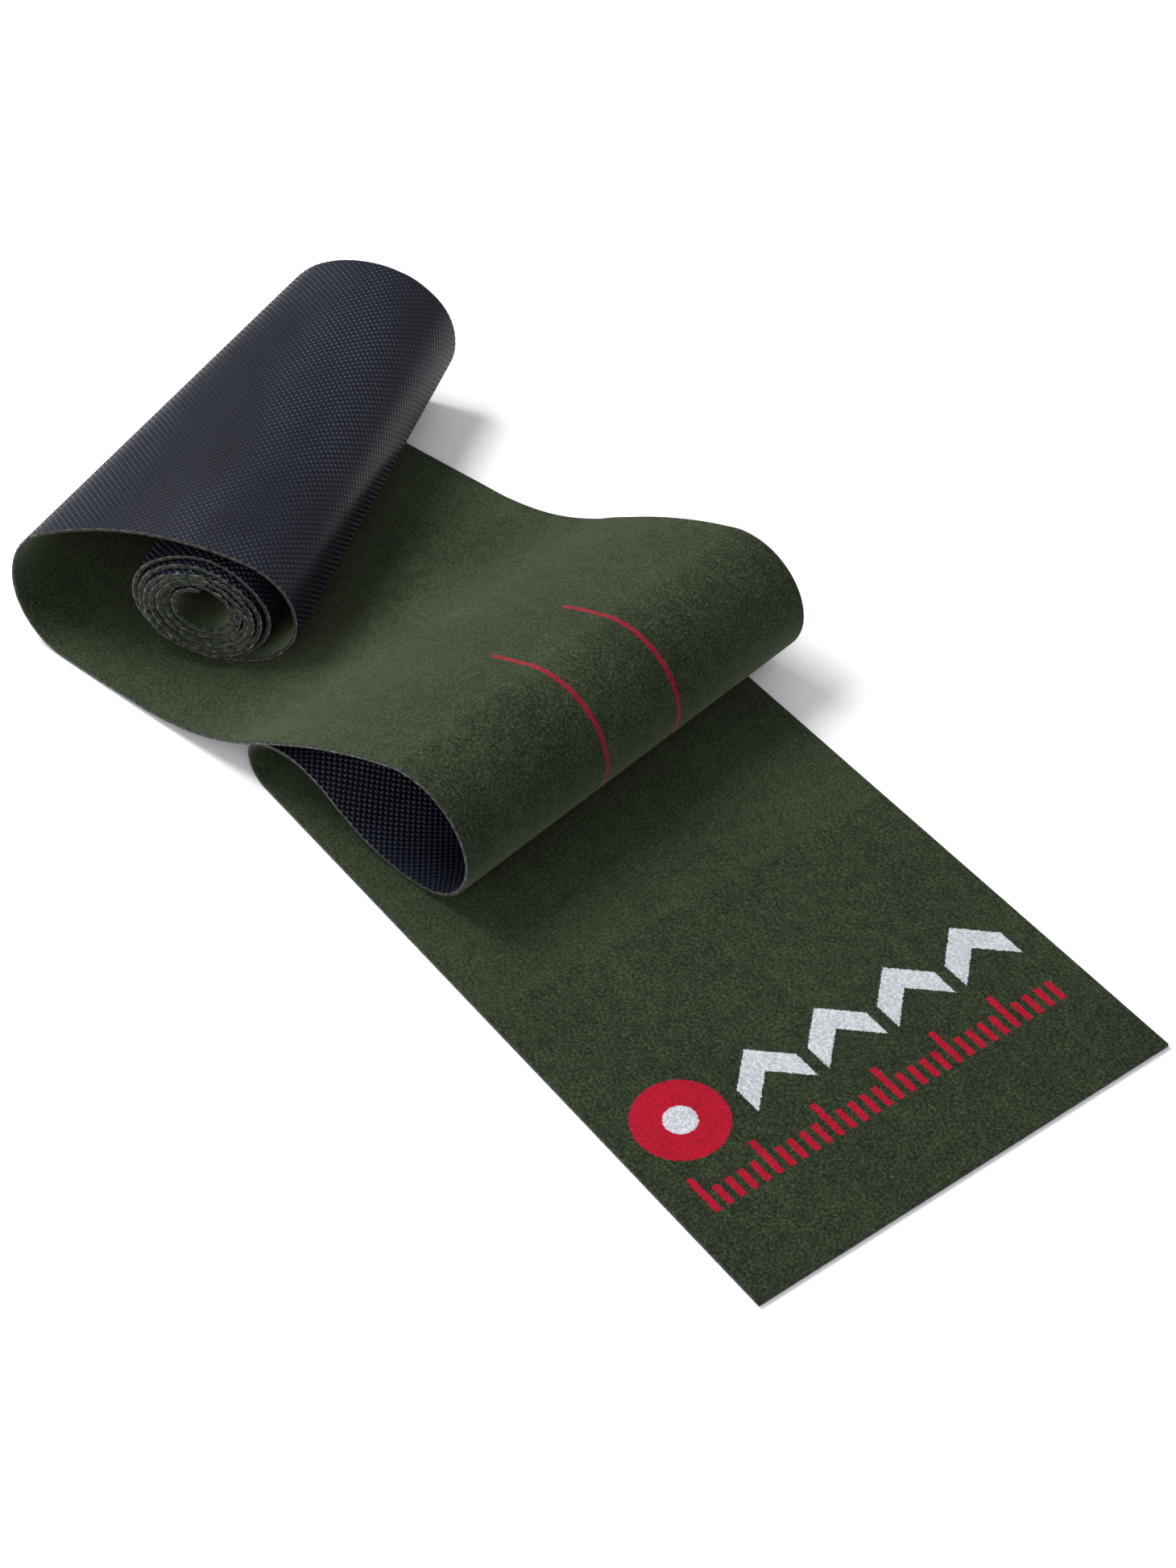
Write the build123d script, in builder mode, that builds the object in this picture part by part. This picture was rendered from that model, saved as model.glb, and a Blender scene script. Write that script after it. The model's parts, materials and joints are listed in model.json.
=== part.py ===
"""Practice putting mat, shown partly unrolled.

A long velour mat on a rubber backing. It lies flat at its front end, doubles back over
itself in a Z fold, lies flat again, and ends in a loose turn round its own tight roll.
The mat is one flexible strip. Here it is divided across its width into flat panels that
meet at creases, each panel with its own velour and its own backing, so that the folds
and the loose turn can open. The tight roll at the end is one spiral.

Frame: origin on the floor under the middle of the flat front stretch, +X towards the
front edge, +Y across the width from the near edge to the far edge, +Z up. Millimetres
and degrees.
"""

import os
from math import degrees, hypot, radians, sin, tan

from build123d import *

# the mat's section
mat_width = 400.0
pile_thickness = 2.4
backing_thickness = 1.6
mat_thickness = pile_thickness + backing_thickness

# room between two panels at a crease, besides what the bend takes up
crease_gap = 0.6

# The lie of the mat, from the front edge to the tight roll. The far edge is longer or
# shorter than the near edge where a bend runs askew. A positive turn closes the mat on
# its velour and a negative one on its backing.
# name, panels, near edge, far edge, turn
drawn_width = 400.0  # the width at which the far edges have the lengths below
stretches = [
    ("front", 1, 648.0, 686.0, 0.0),
    ("fold", 3, 52.0, 45.0, 146.5),
    ("return_rise", 2, 92.0, 74.0, 70.5),
    ("return_fall", 2, 114.0, 99.0, -45.0),
    ("nose", 5, 207.0, 194.0, -190.5),
    ("hump", 2, 179.0, 160.0, -16.0),
    ("hollow", 2, 146.0, 137.0, 33.0),
    ("floor", 1, 96.0, 201.0, -0.5),
    ("rise", 4, 157.0, 190.0, 156.0),
    ("top", 2, 192.0, 83.0, 42.0),
    ("corner", 3, 147.0, 170.0, 147.0),
    ("under", 1, 48.0, 39.0, 18.0),
]

# the tight roll
roll_radius = 57.0  # middle of the mat in the outermost layer
roll_half_turns = 13
roll_layer_gap = 1.5
roll_layer_pitch = mat_thickness + roll_layer_gap


def panel_sizes():
    """Name, near length, far length and half bend of each panel, which is the chord of its arc."""
    panels = []
    for name, count, near, far, turn in stretches:
        far = near + (far - near) * mat_width / drawn_width
        half_bend = turn / count / 2
        chord = sin(radians(half_bend)) / radians(half_bend) if half_bend else 1.0
        for number in range(1, count + 1):
            label = f"{name}_{number}" if count > 1 else name
            panels.append((label, near / count * chord, far / count * chord, half_bend))
    return panels


def lay_panels():
    """Place every panel in turn. Each entry holds what a panel and the crease after it need."""
    laid = []
    front_length = stretches[0][2]
    front_corner = (front_length / 2, -mat_width / 2, mat_thickness / 2)
    plane = Plane(origin=front_corner, x_dir=(1, 0, 0), z_dir=(0, 0, 1))
    lead = 0.0  # how far the far end of the panel's first crease is ahead of the near end
    sizes = panel_sizes()
    for index, (name, near, far, half_bend) in enumerate(sizes):
        following_half = sizes[index + 1][3] if index + 1 < len(sizes) else 0.0
        bend = half_bend + following_half
        end_lead = lead + far - near
        crease_near = plane.from_local_coords((-near, 0, 0))
        crease_far = plane.from_local_coords((-near - end_lead, mat_width, 0))
        laid.append(
            {
                "name": name,
                "plane": plane,
                "length": near,
                "start_lead": lead,
                "end_lead": end_lead,
                "crease": (crease_near, crease_far),
                "bend": bend,
            }
        )
        axis = Axis(crease_near, crease_far - crease_near)
        plane = Plane(
            origin=crease_near,
            x_dir=plane.x_dir.rotate(axis, bend),
            z_dir=plane.z_dir.rotate(axis, bend),
        )
        lead = end_lead
    return laid, plane


def setback(bend, lead):
    """How far a panel stops short of a crease, along the mat, so that the bend can open and close."""
    square = mat_thickness / 2 * tan(radians(abs(bend)) / 2) + crease_gap / 2
    return square * hypot(mat_width, lead) / mat_width


def outline(panel, bend_before):
    """The panel's four corners in its own plane."""
    start = -setback(bend_before, panel["start_lead"]) if bend_before else 0.0
    end = setback(panel["bend"], panel["end_lead"]) - panel["length"]
    return [
        (start, 0),
        (end, 0),
        (end - panel["end_lead"], mat_width),
        (start - panel["start_lead"], mat_width),
    ]


def layer(label, plane, corners, height, thickness):
    """One flat layer of a panel, written to its own file."""
    with BuildPart() as sheet:
        with BuildSketch(plane.offset(height)):
            with BuildLine():
                Polyline(*corners, close=True)
            make_face()
        extrude(amount=thickness)
    sheet.part.label = label
    export_step(sheet.part, f"parts/{label}.step")


def spiral_layer(label, plane, start_angle, outside, inside):
    """One layer of the tight roll: half turns whose centres step, so that they join smoothly."""
    with BuildPart() as roll:
        with BuildSketch(plane):
            with BuildLine():
                ends = []
                for offset in (outside, inside):
                    points = []
                    for half_turn in range(roll_half_turns):
                        radius = roll_radius - half_turn * roll_layer_pitch / 2
                        centre = (0, roll_radius + (half_turn % 2) * roll_layer_pitch / 2)
                        first = start_angle if half_turn == 0 else -90 + 180 * half_turn
                        sweep_angle = 90 + 180 * half_turn - first
                        arc = CenterArc(centre, radius + offset, first, sweep_angle)
                        points += [arc @ 0, arc @ 1]
                    ends.append((points[0], points[-1]))
                Line(ends[0][0], ends[1][0])
                Line(ends[0][1], ends[1][1])
            make_face()
        extrude(amount=mat_width)
    roll.part.label = label
    export_step(roll.part, f"parts/{label}.step")


def make_mat():
    """Make every panel and the tight roll."""
    os.makedirs("parts", exist_ok=True)
    laid, _ = lay_panels()
    half = mat_thickness / 2
    bend_before = 0.0
    for panel in laid:
        corners = outline(panel, bend_before)
        layer(f"{panel['name']}_backing", panel["plane"], corners, -half, backing_thickness)
        layer(f"{panel['name']}_pile", panel["plane"], corners, half - pile_thickness, pile_thickness)
        bend_before = panel["bend"]

    # the roll goes on from the last crease, square to it
    last = laid[-1]
    crease_near, crease_far = last["crease"]
    across = crease_far - crease_near
    along = (last["plane"].x_dir * -1).rotate(Axis(crease_near, across), last["bend"])
    roll_plane = Plane(origin=crease_near, x_dir=along, z_dir=across)
    gap = setback(last["bend"], last["end_lead"])
    start_angle = -90 + degrees(gap / roll_radius)
    spiral_layer("roll_backing", roll_plane, start_angle, half, half - backing_thickness)
    spiral_layer("roll_pile", roll_plane, start_angle, half - backing_thickness, -half)


make_mat()
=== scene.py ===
"""Practice putting mat: dark green velour on an embossed rubber backing, lying part unrolled.

Every strip of the mat is made flat first, as it is cut: x along the mat from its front
edge, y across the width from the near edge, z over the middle of its thickness. The
strip is then bent into place over its crease.
"""

import json
import math

import bmesh
import bpy
import numpy as np
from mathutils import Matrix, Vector

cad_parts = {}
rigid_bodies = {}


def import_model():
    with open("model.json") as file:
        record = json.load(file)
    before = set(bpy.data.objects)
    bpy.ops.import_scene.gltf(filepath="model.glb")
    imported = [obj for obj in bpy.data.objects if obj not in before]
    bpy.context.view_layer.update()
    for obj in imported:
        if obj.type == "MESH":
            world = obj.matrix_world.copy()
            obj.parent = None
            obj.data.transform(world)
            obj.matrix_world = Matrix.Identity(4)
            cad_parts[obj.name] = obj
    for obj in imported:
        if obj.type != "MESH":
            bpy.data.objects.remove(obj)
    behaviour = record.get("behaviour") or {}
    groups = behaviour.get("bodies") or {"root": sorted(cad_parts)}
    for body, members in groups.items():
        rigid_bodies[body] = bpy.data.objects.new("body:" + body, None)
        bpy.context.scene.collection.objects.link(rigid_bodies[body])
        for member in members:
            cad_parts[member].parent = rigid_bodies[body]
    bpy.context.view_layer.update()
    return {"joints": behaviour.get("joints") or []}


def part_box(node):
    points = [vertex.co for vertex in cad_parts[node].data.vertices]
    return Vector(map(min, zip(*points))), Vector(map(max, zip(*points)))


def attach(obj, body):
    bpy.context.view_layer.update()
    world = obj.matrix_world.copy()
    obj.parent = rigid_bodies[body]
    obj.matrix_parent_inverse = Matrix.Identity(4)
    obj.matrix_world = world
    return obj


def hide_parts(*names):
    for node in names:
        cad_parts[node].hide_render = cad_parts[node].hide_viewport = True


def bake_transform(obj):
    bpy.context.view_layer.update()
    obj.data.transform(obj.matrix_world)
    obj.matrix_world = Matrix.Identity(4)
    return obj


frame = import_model()

# ---------------------------------------------------------------- the mat's sizes, in metres

mat_thickness = 0.0040
backing_thickness = 0.0016
bond_height = backing_thickness - mat_thickness / 2  # where the velour is bonded to the rubber
velour_cell = 0.004
cell_overhang = velour_cell  # a strip's cells pass its ends by up to this
dot_cells_across = 124  # every other cell of the rubber carries a dot
dot_rim = 0.00065
dot_height = 0.0005
cut_edge_round = 0.0007
least_bend_room = 0.0035  # a strip turns over at least this much each side of its crease
no_distance = 1e-6  # places nearer than this are the same place

arc_share_taken_off = 0.5  # arcs lie halfway in from the creases, so that the opened mat lies even

roll_radius = 0.057
roll_half_turns = 13
roll_layer_pitch = 0.0055
roll_lead_in = 0.020  # stretch of the roll that is made with the last crease
roll_telescoping = 0.008  # how far the inner layers stand out of the near end
roll_flattening = 0.06  # the roll has sagged to an oval
roll_spread = 0.11  # and how much wider it has become
roll_sag_fade = 0.12  # stretch over which the loose turn passes into the oval
roll_pile_swell = 0.55  # the velour fills the gaps between the layers
roll_wobble = 0.0009  # the inner layers are wound unevenly
roll_weave = 0.0019  # every layer's edge wanders along the roll
roll_fray = 0.0010  # the cut ends of the inner layers are frayed
roll_fray_depth = 0.012  # and the fray reaches this far in
outer_turn_lap = 0.02  # the outer turn's strips run this far under themselves
inner_dots_depth = 0.016  # the inner layers have dots this far in from the roll's ends

floor_half_size = 12
floor_gap = 0.0003

# ---------------------------------------------------------------- how the mat lies


def unit(vector):
    return vector / np.linalg.norm(vector)


def turned(vector, axis, angle):
    """vector, turned about a unit axis."""
    cosine, sine = math.cos(angle), math.sin(angle)
    return vector * cosine + np.cross(axis, vector) * sine + axis * (axis @ vector) * (1 - cosine)


def eased(value, low, high):
    """0 before low, 1 after high, and smooth between."""
    share = np.clip((value - low) / (high - low), 0, 1)
    return share * share * (3 - 2 * share)


class Lie:
    """Where every crease of the mat is, along the flat mat and in place."""

    def __init__(self):
        following = {joint["parent"]: joint for joint in frame["joints"]}
        self.joints, body = [], "front"
        while body in following:
            self.joints.append(following[body])
            body = following[body]["child"]
        low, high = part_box("front_backing")
        self.width = high[1] - low[1]
        near = [np.array([high[0], low[1], mat_thickness / 2])]
        across = [np.array([0.0, 1.0, 0.0])]
        for joint in self.joints:
            axis = unit(np.array(joint["axis"], float))
            near.append(np.array(joint["pos_m"], float))
            across.append(axis if axis[1] > 0 else -axis)
        count = len(near) - 1  # panels before the tight roll
        along = [unit(near[i + 1] - near[i]) for i in range(count)]
        far = []
        for i in range(count + 1):
            slant = np.linalg.norm(np.cross(across[i], along[min(i, count - 1)]))
            far.append(near[i] + across[i] * self.width / slant)
        half = [0.0]
        for i in range(1, count):
            before = along[i - 1] - across[i] * (across[i] @ along[i - 1])
            after = along[i] - across[i] * (across[i] @ along[i])
            bend = math.atan2(np.cross(before, after) @ across[i], before @ after)
            half.append(bend - half[-1])
        # how many times longer every panel's arc is than its chord
        stretch = [h / math.sin(h) if abs(h) > 1e-6 else 1.0 for h in half]
        near_arc = [np.linalg.norm(near[i + 1] - near[i]) * stretch[i] for i in range(count)]
        far_arc = [np.linalg.norm(far[i + 1] - far[i]) * stretch[i] for i in range(count)]
        self.near, self.far = np.array(near), np.array(far)
        self.across = np.array(across)
        self.leave = np.array([turned(along[i], across[i], -half[i]) for i in range(count)])
        self.arrive = np.array([turned(along[i], across[i + 1], half[i]) for i in range(count)])
        self.near_arc, self.far_arc = np.array(near_arc), np.array(far_arc)
        self.near_mark = np.concatenate([[0.0], np.cumsum(near_arc)])
        self.far_mark = np.concatenate([[0.0], np.cumsum(far_arc)])
        # how far every panel's arc stands out from its chord, mid-panel and at its creases
        self.rises = []
        for arc in (self.near_arc, self.far_arc):
            panel_rise = (self.leave - self.arrive) * arc[:, None] / 8
            crease_rise = np.zeros((count + 1, 3))
            crease_rise[2:-1] = (panel_rise[1:-1] + panel_rise[2:]) / 2
            self.rises.append((panel_rise, crease_rise))
        self.bodies = ["front"] + [joint["child"] for joint in self.joints]
        # the roll starts square to the last crease
        self.roll_along = self.arrive[-1]
        self.roll_up = np.cross(self.across[-1], self.roll_along)
        radii = [roll_radius - k * roll_layer_pitch / 2 for k in range(roll_half_turns)]
        self.roll_radii = np.array(radii)
        self.roll_mark = np.concatenate([[0.0], np.cumsum(np.array(radii) * math.pi)])

    def mark(self, crease, share):
        """How far along the flat mat a crease lies, at a share of the width.

        Halves lie mid-panel.
        """
        low = int(math.floor(crease))
        high = min(low + 1, len(self.near_mark) - 1)
        part = crease - low
        near = self.near_mark[low] * (1 - part) + self.near_mark[high] * part
        far = self.far_mark[low] * (1 - part) + self.far_mark[high] * part
        return near + (far - near) * share

    def bent(self, points):
        """Places of flat points before the tight roll, and the velour's outward direction there."""
        u, v, height = points.T
        share = v / self.width
        marks = self.near_mark + share[:, None] * (self.far_mark - self.near_mark)
        panel = np.clip((u[:, None] >= marks).sum(1) - 1, 0, len(self.near_arc) - 1)
        row = np.arange(len(u))
        start, end = marks[row, panel], marks[row, panel + 1]
        q = (u - start) / (end - start)
        q = q[:, None]
        place_w = (2 * q**3 - 3 * q**2 + 1, q**3 - 2 * q**2 + q, 3 * q**2 - 2 * q**3, q**3 - q**2)
        slope_w = (6 * q**2 - 6 * q, 3 * q**2 - 4 * q + 1, 6 * q - 6 * q**2, 3 * q**2 - 2 * q)
        inward = eased(1 - abs(2 * q - 1), 0, 1)
        edges = []
        for corner, arc, (panel_rise, crease_rise) in (
            (self.near, self.near_arc, self.rises[0]),
            (self.far, self.far_arc, self.rises[1]),
        ):
            nearest = crease_rise[panel + (q[:, 0] > 0.5)]
            taken_off = arc_share_taken_off * (nearest + (panel_rise[panel] - nearest) * inward)
            parts = (
                corner[panel],
                self.leave[panel] * arc[panel, None],
                corner[panel + 1],
                self.arrive[panel] * arc[panel, None],
            )
            edges.append(
                (
                    sum(w * part for w, part in zip(place_w, parts)) - taken_off,
                    sum(w * part for w, part in zip(slope_w, parts)),
                )
            )
        (near, near_slope), (far, far_slope) = edges
        share = share[:, None]
        normal = np.cross(far - near, near_slope * (1 - share) + far_slope * share)
        normal /= np.linalg.norm(normal, axis=1)[:, None]
        return near + (far - near) * share + normal * height[:, None], normal

    def rolled(self, points):
        """Places of flat points on the tight roll, and the velour's outward direction there."""
        u, v, height = points.T
        distance = u - self.near_mark[-1]
        turn = np.searchsorted(self.roll_mark, distance, side="right") - 1
        turn = np.clip(turn, 0, roll_half_turns - 1)
        radius = self.roll_radii[turn]
        angle = math.pi * (turn - 0.5) + (distance - self.roll_mark[turn]) / radius
        centre = roll_radius + (turn % 2) * roll_layer_pitch / 2
        swell = 1 + roll_pile_swell * eased(distance, self.roll_mark[1], self.roll_mark[2])
        inside = distance / self.roll_mark[-1]  # 0 at the outer layer, 1 at the hole
        uneven = eased(inside, 0.10, 0.25)
        wobble = roll_wobble * uneven * np.sin(distance * 31) * np.sin(distance * 8.3 + 2)
        reach = radius - np.where(height > 0, height * swell, height) + wobble
        sideways, up = reach * np.cos(angle), centre + reach * np.sin(angle)
        at_end = 1 - eased(np.minimum(v, self.width - v), 0.0, roll_fray_depth)
        strands = np.sin(distance * 610) * np.sin(distance * 233 + height * 900)
        fray = roll_fray * uneven * at_end * strands
        stand_out = eased(inside, 0.12, 0.45) - 0.6 * eased(inside, 0.55, 0.95)
        weave = np.sin(distance * 61) * np.sin(distance * 17.3 + 1)
        drift = roll_weave * weave - roll_telescoping * stand_out
        axis = self.across[-1]
        places = sideways[:, None] * self.roll_along + up[:, None] * self.roll_up
        # it sags: lower and wider, from the line where it leaves the loose turn
        level = unit(np.cross(axis, (0, 0, 1)))
        upright = np.cross(level, axis)
        sag = eased(distance, 0.0, roll_sag_fade)
        places -= (places @ upright * sag * roll_flattening)[:, None] * upright
        places += (places @ level * sag * roll_spread)[:, None] * level
        places += self.near[-1] + (v + drift + fray)[:, None] * axis
        normal = -(np.cos(angle)[:, None] * self.roll_along + np.sin(angle)[:, None] * self.roll_up)
        return places, normal

    def laid(self, points):
        """Places of flat points anywhere on the mat."""
        places, normals = self.bent(points)
        on_roll = points[:, 0] > self.near_mark[-1]
        if on_roll.any():
            places[on_roll], normals[on_roll] = self.rolled(points[on_roll])
        return places, normals


lie = Lie()

# ---------------------------------------------------------------- materials


class Finish:
    """A material, and short ways to wire its nodes."""

    def __init__(self, name):
        self.material = bpy.data.materials.new(name)
        self.material.use_nodes = True
        self.nodes = self.material.node_tree.nodes
        self.links = self.material.node_tree.links
        self.shader = self.nodes["Principled BSDF"]
        self.flat = self.nodes.new("ShaderNodeUVMap").outputs["UV"]

    def set(self, **values):
        for name, value in values.items():
            self.shader.inputs[name.replace("_", " ")].default_value = value

    def plug(self, value, socket):
        if hasattr(value, "links"):
            self.links.new(value, socket)
        else:
            socket.default_value = value

    def math(self, operation, first, second=0.0, third=0.0):
        node = self.nodes.new("ShaderNodeMath")
        node.operation = operation
        for value, socket in zip((first, second, third), node.inputs):
            self.plug(value, socket)
        return node.outputs[0]

    def fit(self, value, low, high, to_low=0.0, to_high=1.0):
        node = self.nodes.new("ShaderNodeMapRange")
        node.interpolation_type = "SMOOTHSTEP"
        for v, name in ((value, 0), (low, 1), (high, 2), (to_low, 3), (to_high, 4)):
            self.plug(v, node.inputs[name])
        return node.outputs[0]

    def noise(self, scale, detail=2.0, roughness=0.5, vector=None):
        node = self.nodes.new("ShaderNodeTexNoise")
        node.inputs["Scale"].default_value = scale
        node.inputs["Detail"].default_value = detail
        node.inputs["Roughness"].default_value = roughness
        self.links.new(vector or self.flat, node.inputs["Vector"])
        return node.outputs["Fac"]

    def stretched(self, x, y):
        node = self.nodes.new("ShaderNodeMapping")
        node.inputs["Scale"].default_value = (x, y, 1)
        self.links.new(self.flat, node.inputs["Vector"])
        return node.outputs["Vector"]

    def blend(self, factor, first, second):
        node = self.nodes.new("ShaderNodeMix")
        node.data_type = "RGBA"
        self.plug(factor, node.inputs["Factor"])
        self.plug(first, node.inputs[6])
        self.plug(second, node.inputs[7])
        return node.outputs[2]

    def colour(self, value):
        self.links.new(value, self.shader.inputs["Base Color"])

    def bump(self, height, strength, distance):
        node = self.nodes.new("ShaderNodeBump")
        node.inputs["Strength"].default_value = strength
        node.inputs["Distance"].default_value = distance
        self.links.new(height, node.inputs["Height"])
        self.links.new(node.outputs["Normal"], self.shader.inputs["Normal"])

    def place(self):
        """Along and across the flat mat, with the ragged edge that dyed pile has."""
        node = self.nodes.new("ShaderNodeSeparateXYZ")
        self.links.new(self.flat, node.inputs[0])
        along, across = node.outputs["X"], node.outputs["Y"]
        return (
            self.grow(along, self.noise(420, 2.0), dye_wander),
            self.grow(across, self.noise(530, 2.0), dye_wander),
        )

    def within(self, value, middle, reach, soft=0.0005):
        """1 where value is less than reach from middle, fading over a soft edge."""
        gap = self.math("ABSOLUTE", self.math("SUBTRACT", value, middle))
        return self.fit(gap, reach - soft, reach + soft, 1.0, 0.0)

    def grow(self, level, texture, weight):
        """level, raised or lowered by a texture's own swing about its middle."""
        return self.math("MULTIPLY_ADD", self.math("SUBTRACT", texture, 0.5), weight, level)

    def all_of(self, *masks):
        result = masks[0]
        for mask in masks[1:]:
            result = self.math("MULTIPLY", result, mask)
        return result


velour_middle = 0.40  # how light the velour is between its shade and its light
velour_shade = (0.0026, 0.0044, 0.0022, 1)
velour_light = (0.050, 0.070, 0.033, 1)
stray_fibre = (0.115, 0.120, 0.070, 1)
dyed_red = (0.40, 0.0, 0.019, 1)
dyed_line = (0.27, 0.002, 0.022, 1)
dyed_white = (0.56, 0.57, 0.61, 1)
cut_yarn_shade = (0.0008, 0.0013, 0.0009, 1)
cut_yarn_light = (0.030, 0.040, 0.023, 1)
rubber_shade = (0.0016, 0.0024, 0.0070, 1)
rubber_bloom = (0.0034, 0.0044, 0.0105, 1)
# painted highlight colour for the dot tops, laid in broad bands along the roll
rubber_painted_highlight = (0.042, 0.050, 0.074, 1)
ground_cloth_shade = (0.006, 0.007, 0.009, 1)
ground_cloth_light = (0.125, 0.135, 0.12, 1)

# places and sizes of the marks dyed into the velour, in metres on the flat mat
dye_wander = 0.0034  # the marks' edges wander by up to half of this
lines_along, lines_half_length = 1.042, 0.111
lines_across, lines_half_apart = 0.2005, 0.0425
line_half_width = 0.0022
disc_across, disc_along = 0.0575, 0.164
disc_radius, ball_radius = 0.0385, 0.0135
chevrons_start, chevron_pitch = 0.1035, 0.069
chevron_along, chevron_half_width = 0.176, 0.0130
chevron_reach, chevron_slope = 0.0290, 0.95
ruler_start, ruler_pitch = 0.0225, 0.0117
ruler_foot, ruler_top, long_stroke_extra = 0.0810, 0.1015, 0.0155
ruler_across, ruler_half_length = 0.1982, 0.1757
ruler_edge = 0.0005


def guide_lines(finish, green):
    """Two red lines along the mat, to putt between."""
    along, across = finish.place()
    stretch = finish.within(along, lines_along, lines_half_length, 0.001)
    pair = finish.math("ABSOLUTE", finish.math("SUBTRACT", across, lines_across))
    line = finish.all_of(stretch, finish.within(pair, lines_half_apart, line_half_width))
    return finish.blend(finish.math("MULTIPLY", line, 0.93), green, dyed_line)


def front_marks(finish, green):
    """A red disc with a white ball on it, white chevrons in the line of play and a red ruler."""
    along, across = finish.place()
    side = finish.math("SUBTRACT", across, disc_across)
    ahead = finish.math("SUBTRACT", along, disc_along)
    squares = finish.math("MULTIPLY", side, side), finish.math("MULTIPLY", ahead, ahead)
    spread = finish.math("SQRT", finish.math("ADD", *squares))
    disc = finish.within(spread, 0.0, disc_radius)
    ball = finish.within(spread, 0.0, ball_radius)
    coloured = finish.blend(disc, green, dyed_red)
    coloured = finish.blend(ball, coloured, dyed_white)
    # four chevrons that point down the mat
    count = finish.math("DIVIDE", finish.math("SUBTRACT", across, chevrons_start), chevron_pitch)
    offset = finish.math("SUBTRACT", finish.math("FRACT", count), 0.5)
    from_middle = finish.math("ABSOLUTE", finish.math("MULTIPLY", offset, chevron_pitch))
    arm = finish.math("ADD", along, finish.math("MULTIPLY", from_middle, chevron_slope))
    chevron = finish.all_of(
        finish.within(arm, chevron_along, chevron_half_width),
        finish.within(from_middle, 0.0, chevron_reach),
        finish.within(across, chevrons_start + 2 * chevron_pitch, 2 * chevron_pitch),
    )
    coloured = finish.blend(chevron, coloured, dyed_white)
    # a ruler of short strokes, every fifth one longer
    count = finish.math("DIVIDE", finish.math("SUBTRACT", across, ruler_start), ruler_pitch)
    stroke = finish.math("ABSOLUTE", finish.math("SUBTRACT", finish.math("FRACT", count), 0.5))
    fives = finish.math("DIVIDE", finish.math("ADD", finish.math("FLOOR", count), 0.5), 5.0)
    long_stroke = finish.within(finish.math("FRACT", fives), 0.1, 0.05, 0.02)
    top = finish.math("ADD", ruler_top, finish.math("MULTIPLY", long_stroke, long_stroke_extra))
    ruler = finish.all_of(
        finish.within(stroke, 0.0, 0.24, 0.05),
        finish.fit(finish.math("SUBTRACT", along, top), -ruler_edge, ruler_edge, 1.0, 0.0),
        finish.fit(along, ruler_foot - ruler_edge, ruler_foot + ruler_edge, 0.0, 1.0),
        finish.within(across, ruler_across, ruler_half_length),
    )
    return finish.blend(ruler, coloured, dyed_red)


def make_velour(name, marks=None):
    """Short dense velour: fibres, tufts and the patches where the pile leans another way."""
    finish = Finish(name)
    fibres = finish.noise(900, 2.0, 0.7)
    tufts = finish.noise(360, 2.0, 0.6)
    patches = finish.noise(75, 3.0, 0.55)
    lean = finish.noise(6.5, 2.0, 0.5, finish.stretched(1.0, 2.2))
    level = finish.grow(velour_middle, fibres, 1.15)
    level = finish.grow(level, tufts, 1.05)
    level = finish.grow(level, patches, 0.36)
    level = finish.grow(level, lean, 0.22)
    level = finish.fit(level, 0.0, 1.0)
    green = finish.blend(level, velour_shade, velour_light)
    # here and there a paler fibre stands up
    stray = finish.fit(finish.noise(620, 1.0, 0.5, finish.stretched(1.0, 0.7)), 0.64, 0.74)
    green = finish.blend(finish.math("MULTIPLY", stray, 0.55), green, stray_fibre)
    if marks:
        coloured = marks(finish, green)
        # the dyed pile keeps some of the fibres' light and shade
        grain = finish.fit(level, 0.0, 0.8, 0.55, 1.05)
        shaded = finish.nodes.new("ShaderNodeMix")
        shaded.data_type, shaded.blend_type = "RGBA", "MULTIPLY"
        shaded.inputs["Factor"].default_value = 1.0
        finish.links.new(coloured, shaded.inputs[6])
        finish.links.new(grain, shaded.inputs[7])
        green = shaded.outputs[2]
    finish.colour(green)
    pile = finish.math("MULTIPLY_ADD", tufts, 0.8, fibres)
    finish.bump(pile, 0.75, 0.0009)
    finish.set(Roughness=0.95, Specular_IOR_Level=0.15, Sheen_Weight=0.17, Sheen_Roughness=0.42)
    finish.shader.inputs["Sheen Tint"].default_value = (0.72, 0.85, 0.50, 1)
    return finish.material


def make_cut_velour():
    """The velour's cut side, where the ends of the ground yarns show."""
    finish = Finish("cut_velour")
    yarns = finish.noise(1500, 3.0, 0.6)
    clumps = finish.noise(190, 2.0, 0.5)
    level = finish.grow(yarns, clumps, 1.7)
    finish.colour(finish.blend(finish.fit(level, 0.25, 0.8), cut_yarn_shade, cut_yarn_light))
    finish.bump(yarns, 0.8, 0.0006)
    finish.set(Roughness=0.95, Specular_IOR_Level=0.15, Sheen_Weight=0.10, Sheen_Roughness=0.5)
    return finish.material


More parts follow.
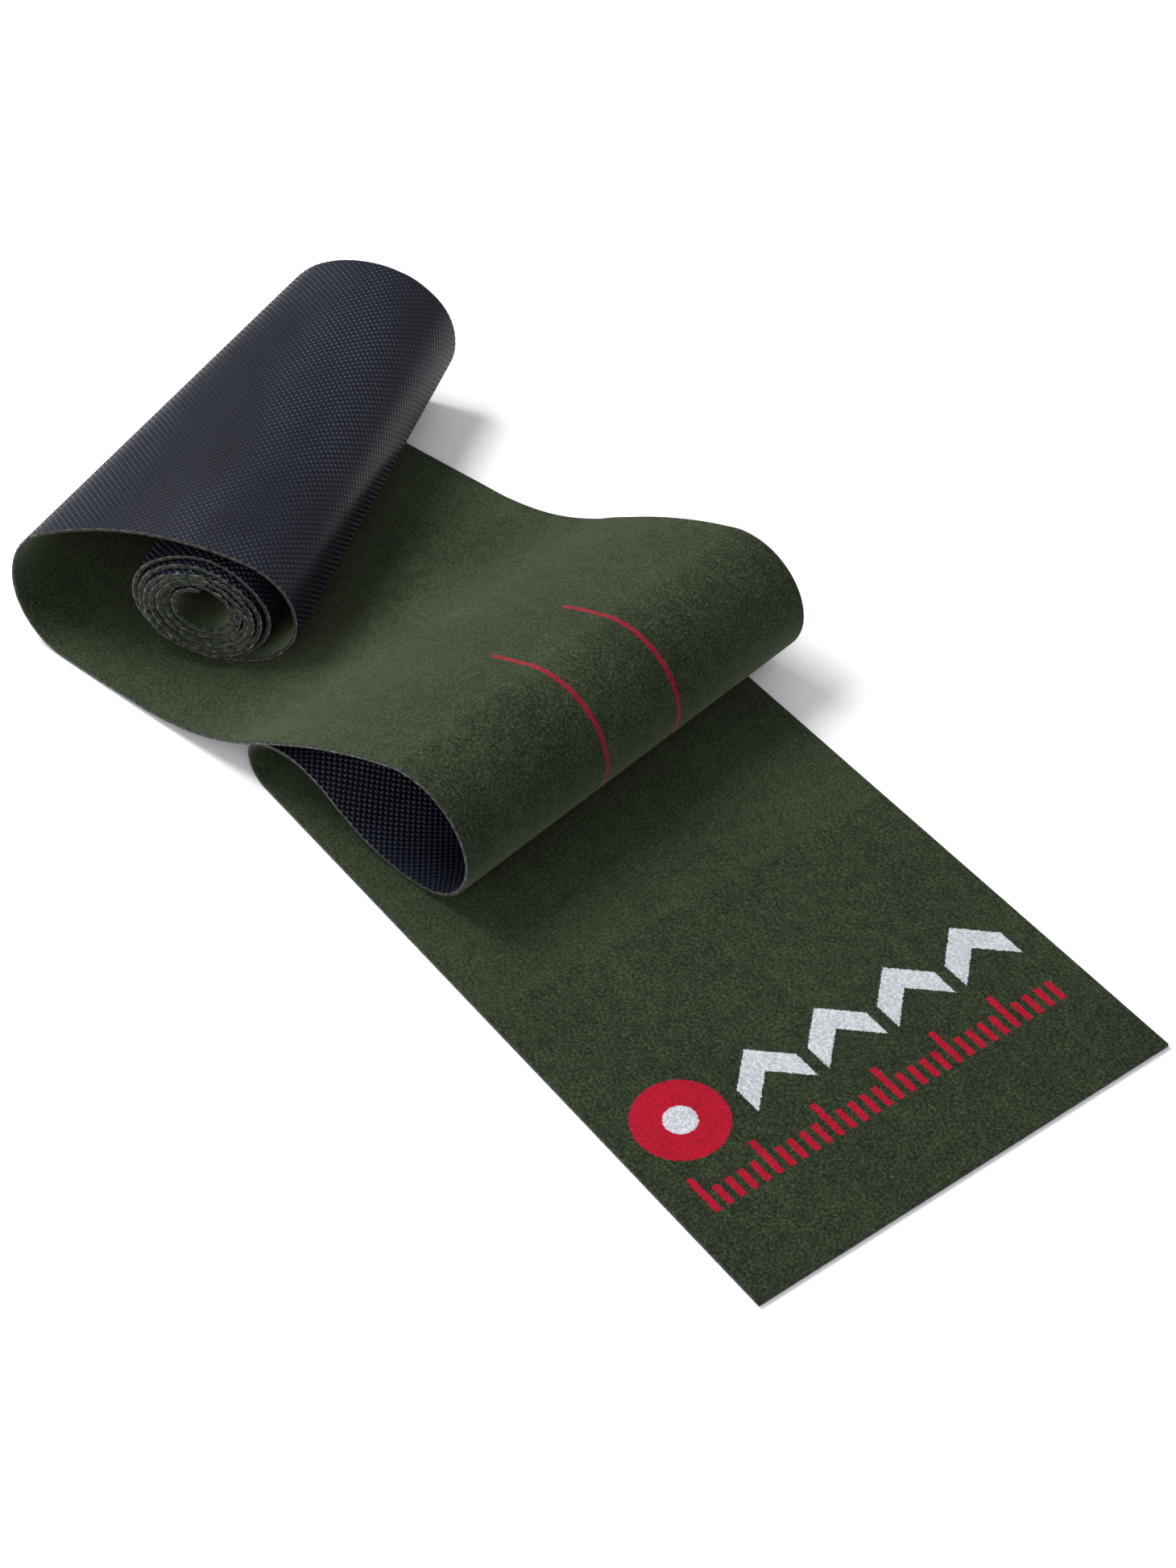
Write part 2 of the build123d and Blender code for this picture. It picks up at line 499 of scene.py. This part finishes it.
def dot_tops(finish):
    """1 on the top of every dot of the rubber, and 0 between the dots."""
    cells = finish.nodes.new("ShaderNodeVectorMath")
    cells.operation = "SCALE"
    cells.inputs["Scale"].default_value = dot_cells_across / lie.width
    finish.links.new(finish.flat, cells.inputs[0])
    split = finish.nodes.new("ShaderNodeSeparateXYZ")
    finish.links.new(cells.outputs[0], split.inputs[0])
    column, row = split.outputs["X"], split.outputs["Y"]
    number = finish.math("ADD", finish.math("FLOOR", column), finish.math("FLOOR", row))
    odd = finish.math("FRACT", finish.math("MULTIPLY", number, 0.5))
    carries = finish.fit(odd, 0.2, 0.3, 1.0, 0.0)
    reach = 0.5 - dot_rim * dot_cells_across / lie.width
    return finish.all_of(
        carries,
        finish.within(finish.math("FRACT", column), 0.5, reach, 0.08),
        finish.within(finish.math("FRACT", row), 0.5, reach, 0.08),
    )


def make_rubber():
    """Dark navy rubber with a slight bloom, glossier on the tops of its dots, whose colour carries
    painted highlights in broad bands.
    """
    finish = Finish("embossed_rubber")
    grain = finish.noise(900, 3.0, 0.6)
    bloom = finish.noise(24, 3.0, 0.6)
    base = finish.blend(finish.fit(bloom, 0.3, 0.75), rubber_shade, rubber_bloom)
    top = dot_tops(finish)
    # painted highlight: the dot tops are painted pale in broad bands along the roll, where glossy
    # dots would catch the light
    highlight_bands = finish.noise(11, 2.0, 0.5, finish.stretched(1.0, 0.35))
    painted_highlight = finish.fit(highlight_bands, 0.38, 0.62, 0.25, 1.0)
    finish.colour(finish.blend(finish.math("MULTIPLY", top, painted_highlight), base, rubber_painted_highlight))
    dull = finish.fit(grain, 0.2, 0.8, 0.34, 0.46)
    roughness = finish.math("MULTIPLY_ADD", top, -0.06, dull)
    finish.links.new(roughness, finish.shader.inputs["Roughness"])
    finish.bump(grain, 0.25, 0.0002)
    finish.set(Specular_IOR_Level=0.25)
    return finish.material


def make_cut_rubber():
    """The pale cut side of the rubber and its ground cloth."""
    finish = Finish("cut_rubber")
    specks = finish.noise(1100, 2.0, 0.6)
    gaps = finish.noise(130, 2.0, 0.5)
    level = finish.grow(specks, gaps, 1.6)
    shown = finish.fit(level, 0.35, 0.85)
    finish.colour(finish.blend(shown, ground_cloth_shade, ground_cloth_light))
    finish.bump(specks, 0.6, 0.0004)
    finish.set(Roughness=0.8)
    return finish.material


velour = make_velour("velour")
velour_front = make_velour("velour_front_marks", front_marks)
velour_lines = make_velour("velour_guide_lines", guide_lines)
cut_velour = make_cut_velour()
rubber = make_rubber()
cut_rubber = make_cut_rubber()

# ---------------------------------------------------------------- making one strip


def cut_flat(cell_along, cell_across, start, end):
    """Flat cells of the mat between two lines across it.

    A line gives its distance along the mat at each share of the width.
    """
    reach = [line(share) for line in (start, end) for share in (0.0, 1.0)]
    first = int(math.floor(min(reach) / cell_along + no_distance))
    last = int(math.ceil(max(reach) / cell_along - no_distance))
    columns, rows = last - first, round(lie.width / cell_across)
    mesh = bmesh.new()
    bmesh.ops.create_grid(mesh, x_segments=columns, y_segments=rows, size=0.5)
    bmesh.ops.translate(mesh, verts=mesh.verts, vec=(0.5, 0.5, 0))
    bmesh.ops.scale(mesh, verts=mesh.verts, vec=(columns * cell_along, lie.width, 1))
    bmesh.ops.translate(mesh, verts=mesh.verts, vec=(first * cell_along, 0, 0))
    outside = []
    for face in mesh.faces:
        centre = face.calc_center_median()
        share = centre.y / lie.width
        if not start(share) <= centre.x < end(share):
            outside.append(face)
    bmesh.ops.delete(mesh, geom=outside, context="FACES")
    return mesh


def thicken(mesh, shown_height, hidden_height):
    """Give flat cells their thickness.

    The shown side is marked, and the cut sides get the second finish.
    """
    bmesh.ops.translate(mesh, verts=mesh.verts, vec=(0, 0, shown_height))
    mark = mesh.faces.layers.int.new("shown")
    shown = mesh.faces[:]
    for face in shown:
        face[mark] = 1
    made = bmesh.ops.extrude_face_region(mesh, geom=shown, use_keep_orig=True)["geom"]
    copied = [piece for piece in made if isinstance(piece, bmesh.types.BMVert)]
    bmesh.ops.translate(mesh, verts=copied, vec=(0, 0, hidden_height - shown_height))
    for piece in made:
        if isinstance(piece, bmesh.types.BMFace):
            piece[mark] = 0
    for face in mesh.faces:
        heights = [vert.co.z for vert in face.verts]
        if max(heights) - min(heights) > 10 * no_distance:
            face[mark] = 0
            face.material_index = 1
    bmesh.ops.recalc_face_normals(mesh, faces=mesh.faces)
    return mark


def on_outline(vert):
    """True on the mat's own cut edges, and not where one strip meets the next."""
    at = vert.co
    return at.y < no_distance or at.y > lie.width - no_distance or at.x < no_distance


def round_cut_edge(mesh, height):
    """Round the rim of the velour along the mat's own cut edges."""
    rim = [
        edge
        for edge in mesh.edges
        if all(abs(vert.co.z - height) < no_distance and on_outline(vert) for vert in edge.verts)
        and len({face.material_index for face in edge.link_faces}) == 2
    ]
    bmesh.ops.bevel(
        mesh, geom=rim, affect="EDGES", offset=cut_edge_round, segments=2, profile=0.5, material=-1
    )


def emboss(mesh, mark, cell, choose):
    """Raise a small dot on every other cell of the rubber."""
    cells = []
    for face in mesh.faces:
        if face[mark]:
            centre = face.calc_center_median()
            column, row = int(centre.x / cell), int(centre.y / cell)
            if (column + row) % 2 == 0 and choose(centre):
                cells.append(face)
    raised = bmesh.ops.inset_individual(mesh, faces=cells, thickness=dot_rim, depth=dot_height)
    for face in cells + raised["faces"]:
        face[mark] = 0


def bend_into_place(mesh, name, finishes, outward):
    """Map the flat strip on to the lie of the mat, with its flat places kept as its UV map."""
    flat = mesh.loops.layers.uv.new("flat")
    for face in mesh.faces:
        face.smooth = True
        for loop in face.loops:
            loop[flat].uv = loop.vert.co.xy
    # along, across and up are left-handed once the strip is in place
    bmesh.ops.reverse_faces(mesh, faces=mesh.faces)
    data = bpy.data.meshes.new(name)
    mesh.to_mesh(data)
    mesh.free()
    count = len(data.vertices)
    points = np.empty(count * 3, np.float32)
    data.vertices.foreach_get("co", points)
    places, normals = lie.laid(points.reshape(count, 3).astype(float))
    data.vertices.foreach_set("co", places.astype(np.float32).ravel())
    data.update()
    data.set_sharp_from_angle(angle=math.radians(42))
    # the shown side takes the sheet's own direction, so that no strip's end shows
    corners = len(data.loops)
    vertex_of = np.empty(corners, np.int32)
    data.loops.foreach_get("vertex_index", vertex_of)
    sides = np.empty(len(data.polygons), np.int32)
    data.polygons.foreach_get("loop_total", sides)
    shown = np.empty(len(data.polygons), np.int32)
    data.attributes["shown"].data.foreach_get("value", shown)
    directions = normals[vertex_of] * outward * np.repeat(shown, sides)[:, None]
    data.normals_split_custom_set(directions.tolist())
    piece = bpy.data.objects.new(name, data)
    bpy.context.scene.collection.objects.link(piece)
    for finish in finishes:
        data.materials.append(finish)
    return piece


def make_velour_strip(name, start, end, finish):
    mesh = cut_flat(velour_cell, velour_cell * 2, start, end)
    thicken(mesh, mat_thickness / 2, bond_height)
    round_cut_edge(mesh, mat_thickness / 2)
    return bend_into_place(mesh, name, (finish, cut_velour), 1.0)


def anywhere(centre):
    return True


def make_rubber_strip(name, start, end, choose=anywhere):
    cell = lie.width / dot_cells_across
    mesh = cut_flat(cell, cell, start, end)
    mark = thicken(mesh, dot_height - mat_thickness / 2, bond_height)
    emboss(mesh, mark, cell, choose)
    return bend_into_place(mesh, name, (rubber, cut_rubber), -1.0)


def declare(start, end):
    """The lengths of a strip's near and far edges between its two slanting ends; nothing uses them.
    """
    near, far = end(0.0) - start(0.0), end(1.0) - start(1.0)


# ---------------------------------------------------------------- the strips


def line_at(crease):
    """A line across the flat mat, at a crease or part of the way to the next."""
    return lambda share: lie.mark(crease, share)


def line_along(distance):
    """A line square across the flat mat."""
    return lambda share: distance


last_crease = len(lie.joints)
roll_start = lie.near_mark[-1]
roll_end = roll_start + lie.roll_mark[-1]


def finish_for(number):
    """The velour's finish on the strip over a crease."""
    body = lie.joints[number - 1]["child"]
    return velour_lines if body.startswith(("return_fall", "nose", "hump", "hollow")) else velour


def make_front():
    """The flat stretch at the front, in two lengths, which ride on the front panel."""
    middle = line_along(lie.mark(0.5, 0.5))
    ends = line_along(0.0), middle, line_at(0.85)
    finishes = velour_front, velour
    for number, (start, end, finish) in enumerate(zip(ends, ends[1:], finishes), 1):
        top = make_velour_strip(f"front_{number}_velour", start, end, finish)
        under = make_rubber_strip(f"front_{number}_rubber", start, end)
        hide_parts("front_pile")
        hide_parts("front_backing")
        for piece, slot in ((top, "pile"), (under, "backing")):
            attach(piece, "front")
            declare(start, end)
    return ends[-1]


def bend_zone(number):
    """Where a strip starts and stops turning over its crease, square to the crease."""
    near, far, axis = lie.near[number], lie.far[number], lie.across[number]
    start, end = strip_ends[number]
    lengths = []
    for share in (0.0, 1.0):
        at = lie.mark(number, share)
        lengths += [at - start(share), end(share) - at]
    room = max(min(lengths) - cell_overhang, least_bend_room)
    middle = (near + far) / 2
    onward = lie.leave[number] if number < last_crease else lie.roll_along
    tangent = unit(onward - axis * (axis @ onward))
    return middle - tangent * room, middle + tangent * room


def make_crease_strips(first_line):
    """One strip of velour and one of rubber over every crease, each bent into place over it."""
    start = first_line
    roll_line = line_along(roll_start + roll_lead_in)
    for number in range(1, last_crease + 1):
        end = line_at(number + 0.5) if number < last_crease else roll_line
        strip_ends[number] = (start, end)
        parent, child = lie.bodies[number - 1], lie.bodies[number]
        top = make_velour_strip(f"{child}_velour", start, end, finish_for(number))
        under = make_rubber_strip(f"{child}_rubber", start, end)
        if child != "roll":
            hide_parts(f"{child}_pile")
            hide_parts(f"{child}_backing")
        zone = bend_zone(number)
        for piece, slot in ((top, "pile"), (under, "backing")):
            declare(start, end)
            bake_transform(piece)
        start = end
    return start


def at_an_end(centre):
    return min(centre.y, lie.width - centre.y) < inner_dots_depth


def make_roll(start):
    """The tight roll. Only its outer turn and the ends of its inner ones show their dots."""
    outer_end = line_along(roll_start + lie.roll_mark[2] + outer_turn_lap)
    middle = line_along(roll_start + lie.roll_mark[6])
    end = line_along(roll_end)
    lengths = (
        ("outer", start, outer_end, anywhere),
        ("middle", outer_end, middle, at_an_end),
        ("inner", middle, end, at_an_end),
    )
    for name, begin, stop, choose in lengths:
        top = make_velour_strip(f"roll_{name}_velour", begin, stop, velour)
        under = make_rubber_strip(f"roll_{name}_rubber", begin, stop, choose)
        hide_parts("roll_pile")
        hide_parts("roll_backing")
        for piece, slot in ((top, "pile"), (under, "backing")):
            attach(piece, "roll")
            declare(begin, stop)


strip_ends = {}
front_end = make_front()
roll_begin = make_crease_strips(front_end)
make_roll(roll_begin)

# ---------------------------------------------------------------- floor, lights and camera


def make_floor():
    mesh = bmesh.new()
    bmesh.ops.create_grid(mesh, x_segments=1, y_segments=1, size=floor_half_size)
    data = bpy.data.meshes.new("studio_floor")
    mesh.to_mesh(data)
    mesh.free()
    floor = bpy.data.objects.new("studio_floor", data)
    bpy.context.scene.collection.objects.link(floor)
    floor.location.z = -floor_gap
    finish = Finish("studio_floor")
    finish.set(Roughness=0.9, Specular_IOR_Level=0.1)
    finish.shader.inputs["Base Color"].default_value = (0.88, 0.88, 0.88, 1)
    data.materials.append(finish.material)


def make_light(name, place, target, size, power):
    light = bpy.data.lights.new(name, "AREA")
    light.shape, light.size, light.energy = "DISK", size, power
    lamp = bpy.data.objects.new(name, light)
    bpy.context.scene.collection.objects.link(lamp)
    lamp.location = place
    lamp.rotation_euler = (Vector(target) - Vector(place)).to_track_quat("-Z", "Y").to_euler()


def make_camera():
    lens = bpy.data.cameras.new("camera")
    lens.lens, lens.sensor_width = 73.04, 36.0
    camera = bpy.data.objects.new("camera", lens)
    bpy.context.scene.collection.objects.link(camera)
    camera.location = (1.3108, -1.0898, 1.8577)
    pitch, heading = math.radians(45.20), math.radians(143.18)
    look = Vector(
        (math.cos(heading) * math.cos(pitch), math.sin(heading) * math.cos(pitch), -math.sin(pitch))
    )
    camera.rotation_euler = look.to_track_quat("-Z", "Y").to_euler()
    bpy.context.scene.camera = camera


make_floor()
world = bpy.data.worlds.new("studio")
world.use_nodes = True
world.node_tree.nodes["Background"].inputs["Color"].default_value = (0.95, 0.97, 1.0, 1)
world.node_tree.nodes["Background"].inputs["Strength"].default_value = 0.50
bpy.context.scene.world = world
bpy.context.scene.view_settings.view_transform = "Standard"
make_light("key", (-1.5, -0.55, 2.1), (-0.2, 0, 0), 1.3, 74)
make_light("fill", (1.8, -1.3, 2.2), (-0.1, 0, 0), 1.8, 26)
make_light("near_side", (-0.1, -1.7, 0.45), (-0.35, 0, 0.08), 0.7, 12)
make_camera()
